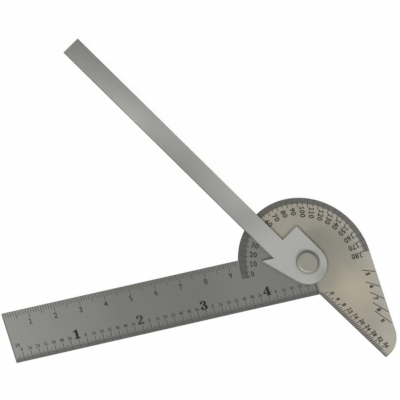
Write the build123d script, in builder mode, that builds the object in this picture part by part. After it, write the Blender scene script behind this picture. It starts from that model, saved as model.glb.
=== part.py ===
import os
from math import acos, atan2, cos, degrees, radians, sin, sqrt, tan

from build123d import *

# Flat steel gauge: a rule that widens into a protractor and a drill point lip, with a
# swinging arm held by a low knurled lock nut. Millimetres, +Z up. The origin is where the
# pivot axis meets the underside of the plate, and the rule points along -X.

# Gauge plate
plate_thickness = 1.0
rule_width = 19.05
rule_reach = 119.4          # pivot axis to the square end of the rule
pivot_height = 12.0         # pivot axis above the lower edge of the rule
protractor_radius = 25.8    # also the distance from the pivot to the right-hand edge
lip_corner = 2.0            # the lip starts this far to the right of the pivot
lip_angle = 59.0            # half of a 118 degree drill point, below the rule's line
lip_length = 33.4
tip_radius = 9.5
corner_radius = 0.4         # small round on the outer corners of plate and arm

# Swing arm
arm_thickness = 1.0
arm_reading = 60.0          # protractor reading of the arm as it is modelled
arm_length = 117.7          # pivot axis to the square end of the arm
arm_width = 7.8
hub_radius = 8.0
shoulder_reach = 12.3       # square shoulder, along the arm from the pivot
notch_reach = 9.9           # root of the hook notch, along the arm from the pivot
notch_angle = 60.0
hook_depth = 4.1            # hook tip beyond the edge of the arm

# Pivot
stud_radius = 2.5           # through the plate and the arm
stud_head_radius = 3.3
stud_head_land = 0.15       # straight rim of the flush countersunk head
thread_radius = 2.0
thread_length = 1.15
thread_lead = 0.25          # small chamfer at the end of the stud

# Spring washer
washer_radius = 3.6
washer_thickness = 0.15
washer_dish = 0.1           # the inner edge stands this much above the outer edge

# Lock nut
nut_radius = 4.0
nut_height = 1.3
nut_roof = 0.33             # closed top above the blind thread
nut_chamfer = 0.45
nut_base_chamfer = 0.15
knurl_count = 36
knurl_radius = 0.2          # each groove of the knurl is a shallow round

# Clearances and finish
slide_gap = 0.03            # between faces that slide on each other
bore_gap = 0.05             # radial, round the stud
edge_break = 0.1

# Heights
arm_base = plate_thickness + slide_gap
arm_top = arm_base + arm_thickness
washer_base = arm_top + slide_gap
washer_height = washer_thickness + washer_dish
nut_base = washer_base + washer_height + slide_gap
nut_top = nut_base + nut_height
stud_shoulder = arm_top - slide_gap

# Plate outline
rule_left = -rule_reach
rule_bottom = -pivot_height
rule_top = rule_bottom + rule_width
right_edge = protractor_radius
shoulder_x = -sqrt(protractor_radius**2 - rule_top**2)
lip_end_x = lip_corner + lip_length * cos(radians(lip_angle))
lip_end_y = rule_bottom - lip_length * sin(radians(lip_angle))
tip_centre_x = right_edge - tip_radius
tip_centre_y = lip_end_y + sqrt(tip_radius**2 - (lip_end_x - tip_centre_x) ** 2)


def break_edges(part):
    # the outline edges of the upper and the lower face are lightly broken, as after tumbling
    by_height = part.faces().filter_by(Plane.XY).sort_by(Axis.Z)
    outline = by_height[0].outer_wire().edges() + by_height[-1].outer_wire().edges()
    chamfer(outline, edge_break)


def round_corners(sketch, corners):
    # the sketch vertices that lie on the given corner points get the small corner round
    chosen = [v for v in sketch.vertices() if any((v.center() - Vector(*c)).length < 1e-3 for c in corners)]
    fillet(chosen, corner_radius)


# Gauge plate: rule, protractor, right-hand edge, rounded tip and lip in one blank
with BuildPart() as gauge_plate:
    with BuildSketch() as plate_outline:
        with BuildLine():
            Polyline(
                (shoulder_x, rule_top),
                (rule_left, rule_top),
                (rule_left, rule_bottom),
                (lip_corner, rule_bottom),
                (lip_end_x, lip_end_y),
            )
            tip_end = (right_edge, tip_centre_y)
            tip_turn = atan2(lip_end_y - tip_centre_y, lip_end_x - tip_centre_x)
            tip_middle = (
                tip_centre_x + tip_radius * cos(tip_turn / 2),
                tip_centre_y + tip_radius * sin(tip_turn / 2),
            )
            ThreePointArc((lip_end_x, lip_end_y), tip_middle, tip_end)
            Line(tip_end, (right_edge, 0))
            ThreePointArc((right_edge, 0), (0, protractor_radius), (shoulder_x, rule_top))
        make_face()
        round_corners(
            plate_outline.sketch,
            [(rule_left, rule_top), (rule_left, rule_bottom), (lip_end_x, lip_end_y)],
        )
    extrude(amount=plate_thickness)
    break_edges(gauge_plate.part)
    # countersunk pivot hole, open on the underside
    with BuildSketch(Plane.XZ) as plate_hole:
        head_top = stud_head_land + stud_head_radius - stud_radius
        with BuildLine():
            Polyline(
                (0, 0),
                (stud_head_radius, 0),
                (stud_head_radius, stud_head_land),
                (stud_radius, head_top),
                (stud_radius, plate_thickness),
                (0, plate_thickness),
                close=True,
            )
        make_face()
    revolve(axis=Axis.Z, mode=Mode.SUBTRACT)
gauge_plate.part.label = "gauge_plate"

# Swing arm: drawn along its own reading edge, which runs through the pivot axis
arm_heading = radians(180 - arm_reading)
arm_plane = Plane(
    origin=(0, 0, arm_base),
    x_dir=(cos(arm_heading), sin(arm_heading), 0),
    z_dir=(0, 0, 1),
)
hook_tip_x = notch_reach + hook_depth / tan(radians(notch_angle))
hook_tip_y = arm_width + hook_depth
hook_distance = sqrt(hook_tip_x**2 + hook_tip_y**2)
# the hook's back runs tangent into the round hub
tangent_turn = atan2(hook_tip_y, hook_tip_x) + acos(hub_radius / hook_distance)
tangent_x = hub_radius * cos(tangent_turn)
tangent_y = hub_radius * sin(tangent_turn)
hub_middle = (tangent_turn + radians(270)) / 2

with BuildPart() as swing_arm:
    with BuildSketch(arm_plane) as arm_outline:
        with BuildLine():
            Polyline(
                (0, -hub_radius),
                (shoulder_reach, -hub_radius),
                (shoulder_reach, 0),
                (arm_length, 0),
                (arm_length, arm_width),
                (notch_reach, arm_width),
                (hook_tip_x, hook_tip_y),
                (tangent_x, tangent_y),
            )
            ThreePointArc(
                (tangent_x, tangent_y),
                (hub_radius * cos(hub_middle), hub_radius * sin(hub_middle)),
                (0, -hub_radius),
            )
        make_face()
        Circle(stud_radius + bore_gap, mode=Mode.SUBTRACT)
    extrude(amount=arm_thickness)
    break_edges(swing_arm.part)
swing_arm.part.label = "swing_arm"

# Pivot stud: flush countersunk head pressed into the plate, shoulder for the arm, thread
with BuildPart() as pivot_stud:
    with BuildSketch(Plane.XZ) as stud_profile:
        with BuildLine():
            thread_top = stud_shoulder + thread_length
            Polyline(
                (0, 0),
                (stud_head_radius, 0),
                (stud_head_radius, stud_head_land),
                (stud_radius, head_top),
                (stud_radius, stud_shoulder),
                (thread_radius, stud_shoulder),
                (thread_radius, thread_top - thread_lead),
                (thread_radius - thread_lead, thread_top),
                (0, thread_top),
                close=True,
            )
        make_face()
    revolve(axis=Axis.Z)
pivot_stud.part.label = "pivot_stud"

# Spring washer: a shallow dish between the arm and the nut
with BuildPart() as spring_washer:
    with BuildSketch(Plane.XZ) as washer_profile:
        washer_bore = thread_radius + 2 * bore_gap
        with BuildLine():
            Polyline(
                (washer_radius, washer_base),
                (washer_radius, washer_base + washer_thickness),
                (washer_bore, washer_base + washer_height),
                (washer_bore, washer_base + washer_dish),
                close=True,
            )
        make_face()
    revolve(axis=Axis.Z)
spring_washer.part.label = "spring_washer"

# Lock nut: low, closed on top, with a straight knurl between its two chamfers
with BuildPart() as lock_nut:
    with BuildSketch(Plane.XY.offset(nut_base)) as nut_section:
        Circle(nut_radius)
        with PolarLocations(nut_radius, knurl_count):
            Circle(knurl_radius, mode=Mode.SUBTRACT)
    extrude(amount=nut_height)
    with BuildSketch(Plane.XZ) as nut_profile:
        with BuildLine():
            Polyline(
                (0, nut_base),
                (nut_radius - nut_base_chamfer, nut_base),
                (nut_radius, nut_base + nut_base_chamfer),
                (nut_radius, nut_top - nut_chamfer),
                (nut_radius - nut_chamfer, nut_top),
                (0, nut_top),
                close=True,
            )
        make_face()
    revolve(axis=Axis.Z, mode=Mode.INTERSECT)
    with BuildSketch(Plane.XY.offset(nut_base)) as nut_thread:
        Circle(thread_radius + bore_gap)
    extrude(amount=nut_height - nut_roof, mode=Mode.SUBTRACT)
lock_nut.part.label = "lock_nut"

os.makedirs("parts", exist_ok=True)
export_step(gauge_plate.part, "parts/gauge_plate.step")
export_step(swing_arm.part, "parts/swing_arm.step")
export_step(pivot_stud.part, "parts/pivot_stud.step")
export_step(spring_washer.part, "parts/spring_washer.step")
export_step(lock_nut.part, "parts/lock_nut.step")
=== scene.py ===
from math import cos, pi, radians, sin

import bpy
from mathutils import Matrix, Vector


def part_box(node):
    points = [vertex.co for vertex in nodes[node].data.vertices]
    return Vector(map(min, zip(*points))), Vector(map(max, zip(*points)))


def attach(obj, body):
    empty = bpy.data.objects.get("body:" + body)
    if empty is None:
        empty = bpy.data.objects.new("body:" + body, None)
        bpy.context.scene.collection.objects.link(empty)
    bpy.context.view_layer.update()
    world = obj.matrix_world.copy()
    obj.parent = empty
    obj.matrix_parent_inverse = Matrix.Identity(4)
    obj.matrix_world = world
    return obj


# Steel angle gauge. The plate, arm, stud, washer and nut get their steels, and the plate gets
# its etched scales. Sizes are in millimetres and become metres through MM.

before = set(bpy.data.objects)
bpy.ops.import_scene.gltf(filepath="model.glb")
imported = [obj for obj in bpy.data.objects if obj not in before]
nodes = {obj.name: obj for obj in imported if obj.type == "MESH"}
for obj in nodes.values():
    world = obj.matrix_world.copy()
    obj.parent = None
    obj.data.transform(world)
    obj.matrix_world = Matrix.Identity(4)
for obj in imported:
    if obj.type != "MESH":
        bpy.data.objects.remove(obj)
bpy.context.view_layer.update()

MM = 0.001
INCH = 25.4
EIGHTH = INCH / 8

# Gauge plate. The pivot axis stands at the origin and the rule points along -X.
plate_low, plate_high = [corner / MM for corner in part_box("gauge_plate")]
PLATE_TOP = plate_high.z
PLATE_LENGTH = plate_high.x - plate_low.x
RULE_LEFT = plate_low.x
RULE_WIDTH = 19.05
RULE_BOTTOM = -12.0
RULE_TOP = RULE_BOTTOM + RULE_WIDTH
RIM_RADIUS = plate_high.x           # the right-hand edge is as far from the pivot as the rim
LIP_START = Vector((2.0, RULE_BOTTOM))
LIP_HEADING = radians(-59)
EDGE_BREAK = 0.1

# Swing arm, in its rest pose
ARM_HEADING = radians(120)
ARM_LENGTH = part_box("swing_arm")[1].y / MM / sin(ARM_HEADING)
ARM_WIDTH = 7.8

# Etched marks: thin dark fillings that stand just proud of the steel
MARK_RISE = 0.01
MARK_SINK = 0.02
MARK_DEPTH = MARK_RISE + MARK_SINK
MARK_MIDDLE = PLATE_TOP + MARK_RISE - MARK_DEPTH / 2
STROKE_TAPER = (0.985, 0.86, 1)     # the top of a stroke as a share of its foot
DIGIT_STEP = 0.7                    # from digit to digit, for digits 1 unit tall

# From an edge of the rule to the middle of the numbers beside it
CENTIMETRE_NUMBER_DROP = 5.0
EIGHTH_NUMBER_RISE = 4.45
INCH_NUMBER_RISE = 5.4


# Finishes

METALLIC = 0.3


def steel(red, green, blue):
    """A colour as a paint chart gives it, 0 to 255, turned into the renderer's linear values."""
    shares = [c / 255 for c in (red, green, blue)]
    return [s / 12.92 if s <= 0.04045 else ((s + 0.055) / 1.055) ** 2.4 for s in shares] + [1.0]


class Value:
    """One output in a node tree. Arithmetic on it adds the Math nodes that work it out."""

    def __init__(self, sheet, socket):
        self.sheet = sheet
        self.socket = socket

    def __add__(self, other):
        return self.sheet.maths("ADD", self, other)

    def __sub__(self, other):
        return self.sheet.maths("SUBTRACT", self, other)

    def __rsub__(self, other):
        return self.sheet.maths("SUBTRACT", other, self)

    def __mul__(self, other):
        return self.sheet.maths("MULTIPLY", self, other)

    def __truediv__(self, other):
        return self.sheet.maths("DIVIDE", self, other)

    def __pow__(self, other):
        return self.sheet.maths("POWER", self, other)

    __radd__ = __add__
    __rmul__ = __mul__


class Sheet:
    """A node tree being laid out, for a material or for the world."""

    def __init__(self, tree):
        self.tree = tree

    def node(self, kind, settings, feeds, result=None):
        """Adds a node, makes its settings, then gives its sockets their values or links."""
        made = self.tree.nodes.new(kind)
        for name, setting in settings.items():
            if name == "stops":
                self.set_stops(made.color_ramp, setting)
            else:
                setattr(made, name, setting)
        for name, feed in feeds.items():
            self.feed(made, name, feed)
        ends = made.outputs
        end = ends[result] if result else next((o for o in ends if o.enabled), None)
        return Value(self, end)

    def set_stops(self, ramp, stops):
        while len(ramp.elements) < len(stops):
            ramp.elements.new(0.5)
        for element, (place, colour) in zip(ramp.elements, stops):
            element.position = place
            element.color = colour

    def feed(self, node, name, feed):
        socket = next(s for s in node.inputs if s.enabled and name in (s.identifier, s.name))
        if isinstance(feed, Value):
            self.tree.links.new(feed.socket, socket)
        else:
            socket.default_value = feed

    def maths(self, operation, *values):
        """One Math node. Those that have no sign of their own, such as MAXIMUM, are called by name."""
        feeds = dict(zip(("Value", "Value_001"), values))
        return self.node("ShaderNodeMath", {"operation": operation}, feeds)

    def smooth(self, value, low, high):
        """0 at low, 1 at high, and a soft step between. It falls where low is the larger."""
        feeds = {"Value": value, "From Min": low, "From Max": high}
        return self.node("ShaderNodeMapRange", {"interpolation_type": "SMOOTHSTEP"}, feeds)

    def blend(self, under, over, share):
        feeds = {"A_Color": under, "B_Color": over, "Factor_Float": share}
        return self.node("ShaderNodeMix", {"data_type": "RGBA"}, feeds)

    def shade(self, colour, factor):
        """A colour made lighter or darker by a value near 1."""
        scale = self.node("ShaderNodeCombineColor", {}, {"Red": factor, "Green": factor, "Blue": factor})
        settings = {"data_type": "RGBA", "blend_type": "MULTIPLY"}
        feeds = {"A_Color": colour, "B_Color": scale, "Factor_Float": 1.0}
        return self.node("ShaderNodeMix", settings, feeds)

    def ramp(self, share, stops):
        """A colour that goes from stop to stop as a share goes from 0 to 1."""
        return self.node("ShaderNodeValToRGB", {"stops": stops}, {"Fac": share}, "Color")

    def split(self, vector):
        made = self.node("ShaderNodeSeparateXYZ", {}, {"Vector": vector}).socket.node
        return [Value(self, made.outputs[axis]) for axis in "XYZ"]

    def vector(self, x, y, z):
        return self.node("ShaderNodeCombineXYZ", {}, {"X": x, "Y": y, "Z": z})

    def noise(self, vector, scale, detail=2.0, rough=0.5):
        feeds = {"Vector": vector, "Scale": scale, "Detail": detail, "Roughness": rough}
        return self.node("ShaderNodeTexNoise", {}, feeds)

    def background_seen(self):
        """1 for rays that show the background: to the camera, in a reflection or through glass."""
        path = self.node("ShaderNodeLightPath", {}, {}, "Is Camera Ray").socket.node
        kinds = ("Is Camera Ray", "Is Glossy Ray", "Is Transmission Ray")
        seen, reflected, through = [Value(self, path.outputs[kind]) for kind in kinds]
        return self.maths("MINIMUM", seen + reflected + through, 1.0)


class Finish(Sheet):
    """A material for one of the gauge's pieces, with its place on the piece in millimetres."""

    def __init__(self, name):
        self.material = bpy.data.materials.new(name)
        self.material.use_nodes = True
        super().__init__(self.material.node_tree)
        self.surface = self.tree.nodes["Principled BSDF"]
        self.place = self.node("ShaderNodeTexCoord", {}, {}, "Object")
        self.x, self.y, self.z = [axis * (1 / MM) for axis in self.split(self.place)]
        normal = self.node("ShaderNodeNewGeometry", {}, {}, "Normal")
        upward = self.split(normal)[2]
        # 0 on the flat faces, about 0.3 on a broken edge and 1 on a wall
        lean = 1 - self.maths("ABSOLUTE", upward)
        self.edge = self.smooth(lean, 0.05, 0.25) * (1 - self.smooth(lean, 0.35, 0.6))
        self.wall = self.smooth(lean, 0.5, 0.85)

    def set(self, name, value):
        self.feed(self.surface, name, value)

    def bump(self, height, depth, strength):
        """Fine relief, as deep as depth says in millimetres."""
        feeds = {"Height": height, "Distance": depth * MM, "Strength": strength}
        self.set("Normal", self.node("ShaderNodeBump", {}, feeds, "Normal"))

    def distance(self, x=0.0, y=0.0):
        """How far it is to a place on the piece, or to the pivot axis."""
        return ((self.x - x) ** 2 + (self.y - y) ** 2) ** 0.5

    def spot(self, x, y, inner, outer):
        """1 inside a round patch of the piece, fading out between two radii."""
        return 1 - self.smooth(self.distance(x, y), inner, outer)

    def patched(self, tone, patches):
        """Lays soft patches on a tone. Each has its colour, its spot's place and radii, and its share."""
        for colour, spot, share in patches:
            tone = self.blend(tone, colour, self.spot(*spot) * share)
        return tone

    def brushing(self, along, across):
        """Fine and broad streaks in the direction of the first coordinate."""
        fine = self.noise(self.vector(along * 0.06, across * 5.0, self.z * 3.0), 1.0, 3.0, 0.6)
        broad = self.noise(self.vector(along * 0.02, across * 0.9, self.z), 1.0, 2.0)
        return fine, broad


def brushed_steel(finish, colour, along, across, wall_shade):
    """Satin steel over a given tone: streaks, faint clouds, and painted shade that darkens the broken
    edges and the walls.
    """
    fine, broad = finish.brushing(along, across)
    cloud = finish.noise(finish.place, scale=55.0, detail=3.0)
    colour = finish.shade(colour, 1 + (fine - 0.5) * 0.1 + (broad - 0.5) * 0.06 + (cloud - 0.5) * 0.08)
    # painted shade: the broken edges and the walls darker
    colour = finish.shade(colour, 1 - finish.edge * 0.5 - finish.wall * wall_shade)
    finish.set("Base Color", colour)
    finish.set("Metallic", METALLIC)
    rough = 0.46 + (fine - 0.5) * 0.16 + (cloud - 0.5) * 0.14 + finish.wall * 0.15 + finish.edge * 0.25
    finish.set("Roughness", rough)
    finish.bump(fine * 0.7 + broad * 0.3, depth=0.004, strength=0.6)
    return finish.material


def rule_tone(finish):
    """Painted reflection on the rule: grey, and palest at its square end."""
    stops = [
        (0.0, steel(136, 137, 132)),
        (0.24, steel(120, 121, 116)),
        (0.3, steel(113, 114, 109)),
        (0.52, steel(108, 109, 104)),
        (0.63, steel(116, 117, 112)),
        (0.75, steel(114, 115, 110)),
    ]
    return finish.ramp((finish.x - RULE_LEFT) / PLATE_LENGTH, stops)


def head_tone(finish):
    """The protractor and the lip are warm and pale, with soft changes of tone: a painted reflection over
    the steel's own grain.
    """
    radius = finish.distance()
    grain = finish.noise(finish.place, scale=70.0)
    tint = finish.noise(finish.place, scale=130.0, detail=1.0)
    tone = finish.blend(steel(158, 151, 136), steel(150, 147, 134), finish.smooth(grain, 0.35, 0.65))
    tone = finish.blend(tone, steel(158, 146, 134), finish.smooth(tint, 0.5, 0.75) * 0.5)
    tone = finish.blend(tone, steel(146, 149, 134), finish.smooth(tint, 0.5, 0.25) * 0.5)
    # painted shade between the hub and the high end of the degree scale, and a paler painted reflection
    # along the lip
    tone = finish.patched(tone, [
        (steel(138, 137, 124), (13, 5, 1, 12), 1.0),
        (steel(124, 123, 114), (7, 9, 0, 8), 0.7),
        (steel(164, 156, 141), (10, -20, 2, 16), 0.8),
    ])
    # painted shade, darker close to the hub
    tone = finish.blend(tone, steel(132, 130, 119), (1 - finish.smooth(radius, 9, 15)) * 0.45)
    # painted highlights: the palest places, to the left of the dividers and on the rounded tip
    tone = finish.patched(tone, [
        (steel(178, 169, 148), (17, -13, 1, 11), 0.7),
        (steel(171, 165, 152), (21, -36, 2, 11), 0.8),
    ])
    # painted reflection, paler and less warm along the right-hand edge
    tone = finish.blend(tone, steel(170, 167, 157), finish.smooth(finish.x, 17, 27) * 0.7)
    # painted reflection, cooler between the strokes at the high end of the degree scale
    strokes = finish.smooth(radius, 20.5, 22.3)
    strokes = strokes * finish.smooth(finish.x, 0, 20) * finish.smooth(finish.y, -3, 1)
    return finish.blend(tone, steel(159, 158, 151), strokes * 0.75)


def frosted(finish, tone):
    """Engraving leaves the steel frosted grey round the rim and along the lower edge and the lip."""
    radius = finish.distance()
    # the inner edge of the rim's band has its centre a little to the right of the pivot
    inner = finish.smooth(radius - finish.x * 0.01, RIM_RADIUS - 2.5, RIM_RADIUS - 2.0)
    outer = 1 - finish.smooth(radius, RIM_RADIUS - 0.05, RIM_RADIUS + 0.1)
    rim = inner * outer * finish.smooth(finish.y, -0.6, 0.0)
    frost = finish.blend(steel(113, 115, 113), steel(139, 141, 137), finish.smooth(finish.x, -20, 30))
    tone = finish.blend(tone, frost, rim * 0.8)
    from_lip = (finish.x - LIP_START.x) * -sin(LIP_HEADING) + (finish.y - LIP_START.y) * cos(LIP_HEADING)
    from_edge = finish.maths("MAXIMUM", from_lip, finish.y - RULE_BOTTOM)
    return finish.blend(tone, steel(105, 107, 107), (1 - finish.smooth(from_edge, 0.3, 1.5)) * 0.75)


def plate_finish():
    finish = Finish("plate_steel")
    # the rule's grey meets the head's painted reflection where the lip starts, on a line that leans left
    # and softens higher up, under the hub
    rise = finish.maths("MAXIMUM", finish.y + 6.0, 0.0)
    head_share = finish.smooth((finish.x + rise * 0.7 - 2.1) / (rise * 0.25 + 0.8), -0.5, 0.5)
    tone = finish.blend(rule_tone(finish), head_tone(finish), head_share)
    tone = frosted(finish, tone)
    # the underside is plain
    tone = finish.blend(steel(128, 129, 124), tone, finish.smooth(finish.z, 0.2, 0.8))
    return brushed_steel(finish, tone, finish.x, finish.y, wall_shade=0.74)


def arm_finish():
    finish = Finish("arm_steel")
    along = finish.x * cos(ARM_HEADING) + finish.y * sin(ARM_HEADING)
    across = finish.y * cos(ARM_HEADING) - finish.x * sin(ARM_HEADING)
    # a painted reflection: lighter and darker bands along the arm, palest at the hub and darkest at its
    # far end
    stops = [
        (0.0, steel(168, 169, 164)),
        (0.12, steel(169, 170, 165)),
        (0.23, steel(151, 152, 147)),
        (0.3, steel(158, 159, 154)),
        (0.48, steel(145, 146, 141)),
        (0.6, steel(154, 155, 150)),
        (0.7, steel(162, 163, 158)),
        (0.8, steel(151, 152, 147)),
        (0.9, steel(140, 141, 136)),
        (1.0, steel(129, 130, 125)),
    ]
    tone = finish.ramp(along / ARM_LENGTH, stops)
    # painted light: one long edge is a little paler near the hub, and the other one farther out
    slant = finish.smooth(along, 66, 84) * 0.05 - finish.smooth(along, 20, 34) * 0.02
    tone = finish.shade(tone, 1 + (across - ARM_WIDTH / 2) * slant)
    # painted shade on the hub: darker on the right, most of all at the bottom
    tone = finish.patched(tone, [
        (steel(143, 143, 136), (5.5, -6, 0, 7), 0.8),
        (steel(158, 158, 150), (6.5, 3.5, 0, 4), 0.8),
    ])
    # painted shadow of the nut: a darker crescent on the side away from the lamps
    tone = finish.shade(tone, 1 - finish.spot(0.85, 0.5, 4.2, 5.0) * 0.45)
    return brushed_steel(finish, tone, along, across, wall_shade=0.5)


def turned_finish(name, face, rings):
    """Steel turned in a lathe: fine rings round the pivot axis."""
    finish = Finish(name)
    ring = finish.noise(finish.vector(finish.distance() * rings, finish.z * 2, 0.0), 1.0, 3.0, 0.6)
    cloud = finish.noise(finish.place, scale=300.0)
    colour = finish.shade(face, 1 + (ring - 0.5) * 0.25 + (cloud - 0.5) * 0.2)
    # painted shade: the walls a little darker
    finish.set("Base Color", finish.shade(colour, 1 - finish.wall * 0.1))
    finish.set("Metallic", METALLIC)
    finish.set("Roughness", 0.42 + (cloud - 0.5) * 0.2 + finish.wall * 0.1 + finish.edge * 0.25)
    finish.bump(ring, depth=0.006, strength=0.6)
    return finish.material


def etched_finish(name, deep, worn):
    """The dark filling of an engraved mark, rubbed thin in places."""
    finish = Finish(name)
    rubbed = finish.noise(finish.place, scale=900.0, detail=3.0)
    # the rule has been handled most at its inch 2
    handled = finish.spot(RULE_LEFT + 2 * INCH, RULE_BOTTOM + INCH_NUMBER_RISE, 3, 6)
    colour = finish.blend(finish.blend(deep, worn, rubbed), steel(78, 77, 73), handled * 0.55)
    finish.set("Base Color", colour)
    finish.set("Metallic", 0.0)
    finish.set("Specular IOR Level", 0.2)
    finish.set("Roughness", 0.75 - rubbed * 0.2)
    finish.bump(rubbed, depth=0.004, strength=0.5)
    return finish.material


def give(piece, material):
    piece.data.materials.clear()
    piece.data.materials.append(material)


etched_black = etched_finish("etched_black", steel(14, 14, 13), steel(40, 40, 38))
etched_grey = etched_finish("etched_grey", steel(44, 43, 40), steel(74, 72, 67))


# Etched marks on the plate

UP = radians(90)
DOWN = radians(-90)

# Digits drawn as outlines: lists of points, where a point that ends with a 1 is rounded. The
# plain 1 has a flag and a foot, and the inch digits are bold.
OUTLINE_HEIGHT = 14
PLAIN_ONE = [[(1.2, 0), (8.4, 0), (8.4, 1.5), (5.8, 1.5), (5.8, 14), (4.5, 14), (3.4, 12.7), (1.2, 12.1),
              (1.2, 10.8), (4.0, 10.8), (4.0, 1.5), (1.2, 1.5)]]
INCH_DIGITS = {
    "1": [[(1.9, 0), (9.2, 0), (9.2, 1.1), (7.4, 1.5), (7.4, 14), (5.7, 14), (4.8, 13.0), (3.4, 12.3),
           (1.7, 12.0), (1.7, 11.0), (4.2, 11.0), (4.2, 1.5), (1.9, 1.1)]],
    "2": [[(0.9, 0), (9.3, 0), (9.9, 3.7), (9.0, 3.7), (8.2, 2.5, 1), (6.8, 2.3, 1), (4.0, 2.4),
           (6.6, 5.2, 1), (9.2, 8.3, 1), (9.5, 11.0, 1), (8.0, 13.2, 1), (5.2, 14.0, 1), (2.1, 13.2, 1),
           (0.7, 11.0, 1), (1.2, 9.5, 1), (2.7, 9.0, 1), (4.0, 9.9, 1), (4.0, 11.3, 1), (3.4, 12.4, 1),
           (4.7, 13.0, 1), (6.2, 12.2, 1), (6.5, 10.2, 1), (5.5, 7.4, 1), (3.1, 4.2, 1), (0.9, 1.6)]],
    "3": [[(1.1, 11.4, 1), (2.3, 13.2, 1), (5.0, 14.0, 1), (8.2, 13.0, 1), (9.2, 10.6, 1), (8.5, 8.7, 1),
           (7.0, 7.6), (9.0, 6.4, 1), (9.7, 4.0, 1), (8.3, 1.1, 1), (4.9, 0.0, 1), (1.8, 0.8, 1),
           (0.5, 3.0, 1), (1.1, 4.5, 1), (2.6, 4.9, 1), (3.9, 3.9, 1), (3.8, 2.6, 1), (3.3, 1.6, 1),
           (4.6, 0.9, 1), (6.2, 1.9, 1), (6.7, 4.0, 1), (6.0, 6.1, 1), (3.9, 7.0), (3.9, 8.0),
           (5.7, 8.7, 1), (6.4, 10.6, 1), (5.9, 12.4, 1), (4.6, 13.1, 1), (3.5, 12.4, 1),
           (4.0, 11.5, 1), (3.8, 10.2, 1), (2.5, 9.6, 1), (1.2, 10.2, 1)]],
    "4": [[(4.3, 0), (10.0, 0), (10.0, 1.1), (8.8, 1.4), (8.8, 3.4), (10.6, 3.4), (10.6, 4.9), (8.8, 4.9),
           (8.8, 14), (7.1, 14), (0.2, 4.8), (0.2, 3.4), (5.6, 3.4), (5.6, 1.4), (4.3, 1.1)],
          [(5.6, 4.9), (5.6, 10.8), (1.7, 4.9)]],
}


def deselect():
    bpy.ops.object.select_all(action="DESELECT")


def pick(*pieces):
    """Selects the given pieces and nothing else, the first one active."""
    deselect()
    for piece in pieces:
        piece.select_set(True)
    bpy.context.view_layer.objects.active = pieces[0]


def settle(piece):
    """Moves the piece's place into its mesh, so that its object sits at the origin."""
    pick(piece)
    bpy.ops.object.transform_apply(location=True, rotation=True, scale=True)


def model_stroke():
    """One engraved stroke, 1 mm long from the origin along +X and 1 mm wide, with sloping sides."""
    deselect()
    middle = (0.5 * MM, 0, MARK_MIDDLE * MM)
    bpy.ops.mesh.primitive_cube_add(size=1, location=middle, scale=(MM, MM, MARK_DEPTH * MM))
    stroke = bpy.context.object
    settle(stroke)
    bpy.ops.object.mode_set(mode="EDIT")
    bpy.ops.mesh.select_mode(type="FACE")
    bpy.ops.mesh.select_all(action="DESELECT")
    bpy.ops.object.mode_set(mode="OBJECT")
    for face in stroke.data.polygons:
        face.select = face.normal.z > 0.9
    bpy.ops.object.mode_set(mode="EDIT")
    bpy.ops.transform.resize(value=STROKE_TAPER, center_override=middle)
    bpy.ops.object.mode_set(mode="OBJECT")
    return stroke


def add_text(digit):
    """A digit in the plain built-in face."""
    bpy.ops.object.text_add(location=(0, 0, 0))
    bpy.context.object.data.body = digit


def add_outline(loops):
    """A digit drawn as closed outlines. An inner outline is a hole."""
    bpy.ops.curve.primitive_bezier_circle_add(radius=1, location=(0, 0, 0))
    drawing = bpy.context.object.data
    drawing.dimensions = "2D"
    drawing.fill_mode = "BOTH"
    drawing.splines.clear()
    for loop in loops:
        line = drawing.splines.new("BEZIER")
        line.bezier_points.add(len(loop) - 1)
        for point, (x, y, *round_here) in zip(line.bezier_points, loop):
            point.co = (x / OUTLINE_HEIGHT, y / OUTLINE_HEIGHT, 0)
            kind = "AUTO" if round_here else "VECTOR"
            point.handle_left_type = kind
            point.handle_right_type = kind
        line.use_cyclic_u = True


def model_digit(digit, weight, bold):
    """One digit lying flat, centred on the origin, 1 unit tall and 1 unit thick."""
    deselect()
    if bold:
        add_outline(INCH_DIGITS[digit])
    elif digit == "1":
        add_outline(PLAIN_ONE)
    else:
        add_text(digit)
    drawing = bpy.context.object.data
    drawing.extrude = 0.5
    drawing.offset = weight
    drawing.resolution_u = 3
    bpy.ops.object.convert(target="MESH")
    shape = bpy.context.object
    bpy.ops.object.mode_set(mode="EDIT")
    bpy.ops.mesh.select_all(action="SELECT")
    bpy.ops.mesh.remove_doubles(threshold=1e-4)
    bpy.ops.mesh.normals_make_consistent(inside=False)
    bpy.ops.object.mode_set(mode="OBJECT")
    corners = [v.co for v in shape.data.vertices]
    low = Vector([min(c[i] for c in corners) for i in range(3)])
    high = Vector([max(c[i] for c in corners) for i in range(3)])
    tall = high.y - low.y
    shape.data.transform(Matrix.Translation(-(low + high) / 2))
    shape.data.transform(Matrix.Diagonal((1 / tall, 1 / tall, 1, 1)))
    return shape


def model_number(text, height, narrow, weight, bold):
    """A number centred on the origin, in the plate's top face, its digits evenly spaced."""
    digits = []
    for place, digit in enumerate(text):
        shape = model_digit(digit, weight, bold)
        shift = (place - (len(text) - 1) / 2) * DIGIT_STEP
        shape.data.transform(Matrix.Translation((shift, 0, 0)))
        digits.append(shape)
    pick(*digits)
    if len(digits) > 1:
        bpy.ops.object.join()
    number = bpy.context.object
    number.data.transform(Matrix.Diagonal((height * narrow * MM, height * MM, MARK_DEPTH * MM, 1)))
    number.data.transform(Matrix.Translation((0, 0, MARK_MIDDLE * MM)))
    return number


def placed(x, y, heading, long=1.0, wide=1.0):
    """Where a mark goes on the plate: its place in millimetres, its turn and its stretch."""
    turn = Matrix.Rotation(heading, 4, "Z")
    return Matrix.Translation((x * MM, y * MM, 0)) @ turn @ Matrix.Diagonal((long, wide, 1, 1))


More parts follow.
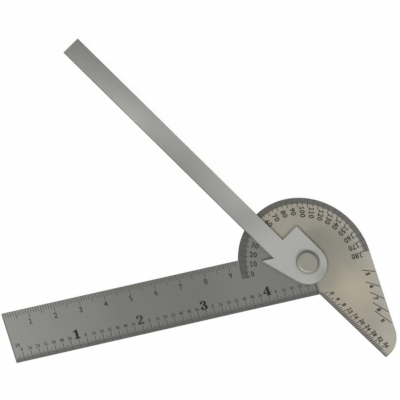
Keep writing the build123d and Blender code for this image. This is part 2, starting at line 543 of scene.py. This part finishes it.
def copied(master, places):
    """Copies of one mark at many places, each with its own mesh. The first one is taken away."""
    copies = []
    for place in places:
        twin = master.copy()
        twin.data = master.data.copy()
        bpy.context.collection.objects.link(twin)
        twin.data.transform(place)
        copies.append(twin)
    bpy.data.objects.remove(master)
    return copies


def join_marks(name, marks, filling):
    """Joins marks into one piece that rides on the plate."""
    pick(*marks)
    bpy.ops.object.join()
    piece = bpy.context.object
    piece.name = name
    give(piece, filling)
    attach(piece, "plate")


def mark_strokes(name, places):
    join_marks(name, copied(model_stroke(), places), etched_grey)


def mark_numbers(name, numbers, height, narrow, weight, bold=False):
    """numbers is a list of (text, place). A text is modelled once and copied where it repeats."""
    marks = []
    for text in dict.fromkeys(text for text, place in numbers):
        master = model_number(text, height, narrow, weight, bold)
        marks += copied(master, [place for words, place in numbers if words == text])
    join_marks(name, marks, etched_black if bold else etched_grey)


def length_of(n, lengths):
    """How long the n-th stroke of a scale is: lengths gives it by step, the widest step first."""
    return next(long for step, long in lengths.items() if n % step == 0)


def millimetre_scale():
    """Millimetres along the rule's upper edge, numbered in centimetres."""
    lengths = {10: 3.4, 5: 3.1, 1: 2.0}
    edge = RULE_TOP - EDGE_BREAK
    places = []
    for n in range(1, 94):
        places.append(placed(RULE_LEFT + n, edge, DOWN, long=length_of(n, lengths), wide=0.23))
    mark_strokes("millimetre_marks", places)
    numbers = []
    for n in range(1, 10):
        numbers.append((str(n), placed(RULE_LEFT + 10 * n - 0.3, RULE_TOP - CENTIMETRE_NUMBER_DROP, 0)))
    mark_numbers("centimetre_numbers", numbers, height=2.2, narrow=1.0, weight=0.018)


def inch_scale():
    """Sixty-fourths of an inch along the lower edge, up to 4 3/4 in, with a longer last stroke."""
    eighths = 38
    lengths = {8: 3.3, 4: 2.4, 2: 1.8, 1: 1.3}
    edge = RULE_BOTTOM + EDGE_BREAK
    places = []
    for n in range(1, eighths * 8 + 1):
        wide = 0.21 if n % 8 else 0.28
        places.append(placed(RULE_LEFT + n * EIGHTH / 8, edge, UP, length_of(n, lengths), wide))
    places.append(placed(RULE_LEFT + eighths * EIGHTH, edge, UP, long=5.0, wide=0.36))
    mark_strokes("inch_marks", places)
    # the eighths between the inches are numbered in sixty-fourths
    numbers = []
    for eighth in range(1, eighths):
        if eighth % 8:
            place = placed(RULE_LEFT + eighth * EIGHTH, RULE_BOTTOM + EIGHTH_NUMBER_RISE, 0)
            numbers.append((str(eighth % 8 * 8), place))
    mark_numbers("sixty_fourth_numbers", numbers, height=1.35, narrow=0.85, weight=0.018)
    # the scale's own number stands at its start
    numbers = [("64", placed(RULE_LEFT + 2.1, RULE_BOTTOM + 6.3, 0))]
    mark_numbers("scale_number", numbers, height=1.5, narrow=0.85, weight=0.01)
    numbers = []
    for inch in range(1, 5):
        place = placed(RULE_LEFT + inch * INCH - 0.2, RULE_BOTTOM + INCH_NUMBER_RISE, 0)
        numbers.append((str(inch), place))
    mark_numbers("inch_numbers", numbers, height=3.5, narrow=1.18, weight=0.014, bold=True)


def degree_scale():
    """Degrees from 0 at the rule to 180 at the right, with strokes from the rim inwards."""
    rim = RIM_RADIUS - EDGE_BREAK
    places = []
    for degree in range(181):
        # the strokes are longer at the low end of the scale, beside the rule
        longer = max(0.0, 1 - max(0, degree - 20) / 40)
        long = length_of(degree, {10: 3.5, 5: 2.8 + 0.5 * longer, 1: 2.2 + 0.7 * longer})
        wide = 0.28 if degree % 5 else 0.34
        out = pi - radians(degree)
        places.append(placed(rim * cos(out), rim * sin(out), out + pi, long, wide))
    mark_strokes("degree_marks", places)
    # a number runs inwards from the rim, farther in the more digits it has, and stands on the
    # line of its own stroke
    inward = {1: 4.2, 2: 5.15, 3: 5.4}
    step = Matrix.Translation((0, 1.15 * MM, 0))
    numbers = []
    for degree in range(0, 181, 10):
        text = str(degree)
        out = pi - radians(degree)
        radius = RIM_RADIUS - inward[len(text)]
        # the ring of numbers sits a little towards the lower right, except at its high end
        off = min(1.0, max(0, 150 - degree) / 30)
        spot = (radius * cos(out) + 0.4 * off, radius * sin(out) - 0.2 * off)
        numbers.append((text, placed(*spot, out + pi) @ step))
    mark_numbers("degree_numbers", numbers, height=2.1, narrow=1.0, weight=0.034)


def circle_dividers():
    """Lines for dividing a circle into 5 to 9 parts."""
    # for each number of parts: where its line starts and ends, and where its number stands
    lines = {
        5: ((20.43, -6.79), (25.45, -8.36), (22.3, -8.7)),
        6: ((20.44, -11.41), (25.48, -14.37), (22.25, -13.65)),
        7: ((20.92, -15.58), (25.39, -19.28), (22.32, -18.4)),
        8: ((20.65, -19.67), (25.47, -24.28), (22.09, -22.78)),
        9: ((20.36, -22.88), (25.40, -28.64), (22.06, -27.1)),
    }
    places = []
    numbers = []
    for parts, (inner, outer, label) in lines.items():
        run = Vector(outer) - Vector(inner)
        # each line leans from the upright by the angle of one part
        heading = -radians(90 - 360 / parts)
        places.append(placed(*inner, heading, long=run.length, wide=0.36))
        numbers.append((str(parts), placed(*label, radians(-85))))
    mark_strokes("divider_marks", places)
    mark_numbers("divider_numbers", numbers, height=1.85, narrow=0.98, weight=0.055)


def lip_scale():
    """Thirty-seconds of an inch from the corner outwards, after a level stroke at the corner."""
    along = Vector((cos(LIP_HEADING), sin(LIP_HEADING)))
    inward = Vector((-along.y, along.x))
    lengths = {4: 2.6, 2: 2.0, 1: 1.4}
    places = [placed(LIP_START.x + 0.2, LIP_START.y - 0.15, 0, long=3.2, wide=0.28)]
    for n in range(1, 38):
        foot = LIP_START + along * (0.5 + n * INCH / 32) + inward * 0.15
        places.append(placed(*foot, radians(8), long=length_of(n, lengths), wide=0.3))
    mark_strokes("lip_marks", places)
    # the numbers stand a little closer together than their strokes
    numbers = []
    for n in range(0, 37, 4):
        spot = LIP_START + along * (2.95 + 0.763 * n) + inward * 3.35
        numbers.append((str(n), placed(*spot, radians(-81))))
    mark_numbers("lip_numbers", numbers, height=1.75, narrow=0.9, weight=0.055)


# Camera, floor and light

def set_camera():
    """The photograph's own viewing angle, from far off with a long lens."""
    bpy.ops.object.camera_add()
    camera = bpy.context.object
    camera.data.lens = 981.85
    camera.data.sensor_width = 36.0
    camera.data.clip_start = 1.0
    camera.data.clip_end = 20.0
    aim = Vector((-31.606, 32.709, 0.0)) * MM
    distance = 3996.0 * MM
    azimuth, elevation, roll = radians(-147.7576), radians(64.4516), radians(42.5016)
    turn = Matrix.Rotation(azimuth + pi / 2, 4, "Z")
    tilt = Matrix.Rotation(pi / 2 - elevation, 4, "X")
    lean = Matrix.Rotation(roll, 4, "Z")
    back = Matrix.Translation((0, 0, distance))
    camera.matrix_world = Matrix.Translation(aim) @ turn @ tilt @ lean @ back
    bpy.context.scene.camera = camera


def lay_floor():
    """A pale floor just under the gauge, which keeps its shadow and is seen only from above."""
    place = (0, 0, -0.05 * MM)
    bpy.ops.mesh.primitive_circle_add(vertices=96, radius=3.0, fill_type="NGON", location=place)
    floor = bpy.context.object
    floor.name = "floor"
    material = bpy.data.materials.new("floor_white")
    material.use_nodes = True
    sheet = Sheet(material.node_tree)
    sheet.tree.nodes.clear()
    matt = sheet.node("ShaderNodeBsdfDiffuse", {}, {"Color": (0.86, 0.86, 0.86, 1)})
    white = sheet.node("ShaderNodeEmission", {}, {"Color": (1, 1, 1, 1), "Strength": 1.0})
    # what is left of the matt floor in view carries the shadow
    share = sheet.background_seen() * 0.96
    lit = sheet.node("ShaderNodeMixShader", {}, {"Fac": share, "Shader": matt, "Shader_001": white})
    behind = sheet.node("ShaderNodeNewGeometry", {}, {}, "Backfacing")
    clear = sheet.node("ShaderNodeBsdfTransparent", {}, {})
    both = sheet.node("ShaderNodeMixShader", {}, {"Fac": behind, "Shader": lit, "Shader_001": clear})
    sheet.node("ShaderNodeOutputMaterial", {}, {"Surface": both})
    give(floor, material)


def light_room():
    """Level light from all round, a little stronger from above, and a white background."""
    world = bpy.data.worlds.new("studio")
    bpy.context.scene.world = world
    world.use_nodes = True
    sheet = Sheet(world.node_tree)
    sheet.tree.nodes.clear()
    way = sheet.node("ShaderNodeTexCoord", {}, {}, "Generated")
    up = sheet.split(way)[2]
    room = sheet.blend((0.2, 0.204, 0.204, 1), (0.24, 0.24, 0.237, 1), sheet.smooth(up, 0.1, 0.9))
    soft = sheet.node("ShaderNodeBackground", {}, {"Color": room, "Strength": 1.0})
    white = sheet.node("ShaderNodeBackground", {}, {"Color": (1, 1, 1, 1), "Strength": 1.0})
    share = sheet.background_seen()
    both = sheet.node("ShaderNodeMixShader", {}, {"Fac": share, "Shader": soft, "Shader_001": white})
    sheet.node("ShaderNodeOutputWorld", {}, {"Surface": both})


def hang_lamp(name, azimuth, power):
    """A soft round lamp that faces the pivot, from the side that the azimuth gives in degrees."""
    turn, height, distance = radians(azimuth), radians(36), 1.2
    place = Vector((cos(turn) * cos(height), sin(turn) * cos(height), sin(height))) * distance
    bpy.ops.object.light_add(type="AREA", location=place)
    lamp = bpy.context.object
    lamp.name = name
    lamp.rotation_euler = place.to_track_quat("Z", "Y").to_euler()
    lamp.data.shape = "DISK"
    lamp.data.size = 0.16
    lamp.data.energy = power


give(nodes["gauge_plate"], plate_finish())
give(nodes["swing_arm"], arm_finish())
give(nodes["lock_nut"], turned_finish("nut_steel", steel(144, 142, 131), rings=5.0))
give(nodes["spring_washer"], turned_finish("washer_steel", steel(124, 124, 120), rings=7.0))
give(nodes["pivot_stud"], turned_finish("stud_steel", steel(150, 150, 146), rings=4.0))

millimetre_scale()
inch_scale()
degree_scale()
circle_dividers()
lip_scale()

lay_floor()
set_camera()
light_room()
hang_lamp("key_lamp", azimuth=-147, power=10.5)
hang_lamp("low_lamp", azimuth=-102, power=7.0)

bpy.context.scene.view_settings.view_transform = "Standard"
